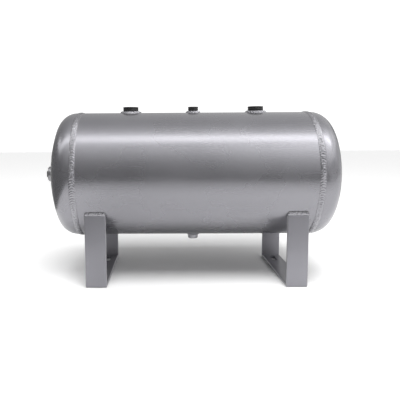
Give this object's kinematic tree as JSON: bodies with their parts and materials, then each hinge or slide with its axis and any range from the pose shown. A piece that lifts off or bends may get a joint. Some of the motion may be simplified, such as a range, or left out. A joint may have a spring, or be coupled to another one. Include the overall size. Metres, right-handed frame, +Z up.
{
  "type": "horizontal pressure tank",
  "caption": "Horizontal pressure tank with dished heads on strap legs, with plugged threaded ports on top and at one end and an open drain bung below.",
  "frame": {"origin": "on the floor plane under the feet, below the middle of the overall length from the end plug to the plain head; the shell's middle, with the drain and the middle port, is 6.75 mm from it toward +X", "axes": "+X along the tank to its plain head, the end port is at -X; +Y to the rear, the front faces -Y; +Z up"},
  "size_m": [0.5196, 0.2234, 0.3022],
  "materials": {
    "tank_paint": "silver-grey semi-gloss paint, faintly metallic",
    "weld_bead": "rippled weld bead under the same grey paint",
    "leg_paint": "silver-grey semi-gloss paint on flat bar",
    "plug_plastic": "black moulded plastic"
  },
  "bodies": {
    "root": {"shell": "tank_paint", "left_head": "tank_paint", "right_head": "tank_paint", "left_port_bung": "tank_paint", "middle_port_bung": "tank_paint", "right_port_bung": "tank_paint", "drain_bung": "tank_paint", "end_port_bung": "tank_paint", "left_girth_weld": "weld_bead", "right_girth_weld": "weld_bead", "left_port_weld": "weld_bead", "middle_port_weld": "weld_bead", "right_port_weld": "weld_bead", "drain_weld": "weld_bead", "end_port_weld": "weld_bead", "left_leg_front_weld": "weld_bead", "left_leg_rear_weld": "weld_bead", "right_leg_front_weld": "weld_bead", "right_leg_rear_weld": "weld_bead", "left_leg": "leg_paint", "right_leg": "leg_paint", "left_port_plug": "plug_plastic", "middle_port_plug": "plug_plastic", "right_port_plug": "plug_plastic", "end_port_plug": "plug_plastic"}
  },
  "joints": []
}
